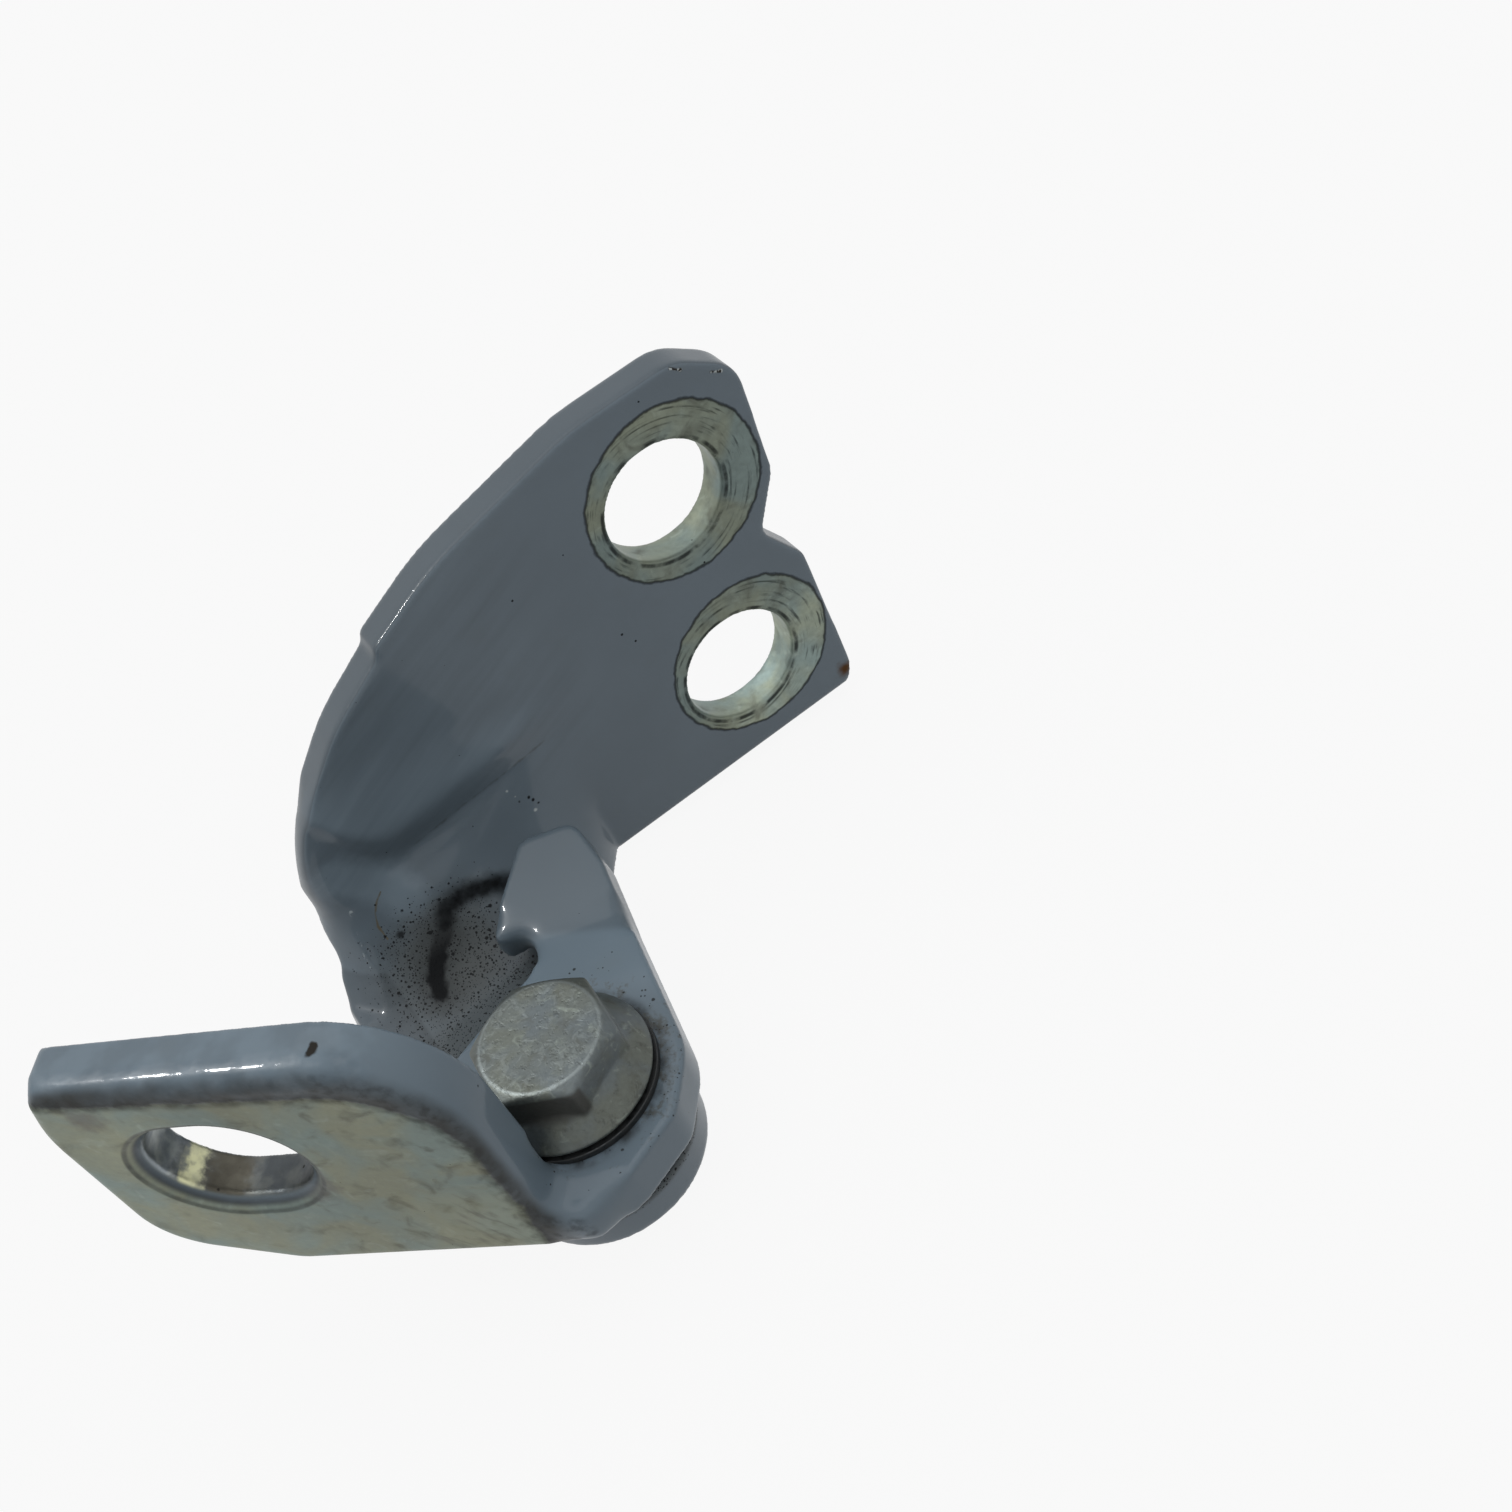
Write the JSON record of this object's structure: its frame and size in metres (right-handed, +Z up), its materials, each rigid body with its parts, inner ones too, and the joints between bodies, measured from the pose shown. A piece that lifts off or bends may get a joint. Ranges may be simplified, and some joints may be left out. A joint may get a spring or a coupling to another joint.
{
  "type": "car rear door hinge",
  "caption": "Two-bracket pivot hinge of pressed steel for a car's rear door: a drilled body plate with a wide bend, a slotted angle for the door, and a bolted pivot.",
  "frame": {"origin": "on the pivot axis, at the bolt's seat on top of the door bracket's leg", "axes": "+Z up along the pivot axis, +X along the body plate from the pivot towards its holes, +Y into the car body, square to the body plate"},
  "size_m": [0.1166, 0.0632, 0.0652],
  "materials": {
    "door_paint": "grey-blue body paint with a bare zinc contact face",
    "body_paint": "grey-blue body paint, bare rings round the holes",
    "pin_steel": "dark dirty steel",
    "bush_metal": "plain turned bush",
    "washer_steel": "dull steel",
    "ring_steel": "dark dirty steel",
    "bolt_zinc": "dull zinc plating"
  },
  "bodies": {
    "body_side": {"body_bracket": "body_paint", "pivot_bush": "bush_metal", "lower_washer": "washer_steel"},
    "door_side": {"door_bracket": "door_paint", "hinge_pin": "pin_steel", "flange_bolt": "bolt_zinc", "ring_washer": "ring_steel"}
  },
  "joints": [
    {"name": "pivot", "type": "hinge", "parent": "body_side", "child": "door_side", "pos_m": [0, 0, 0], "axis": [0, 0, 1], "range_deg": [-41, 28]}
  ]
}
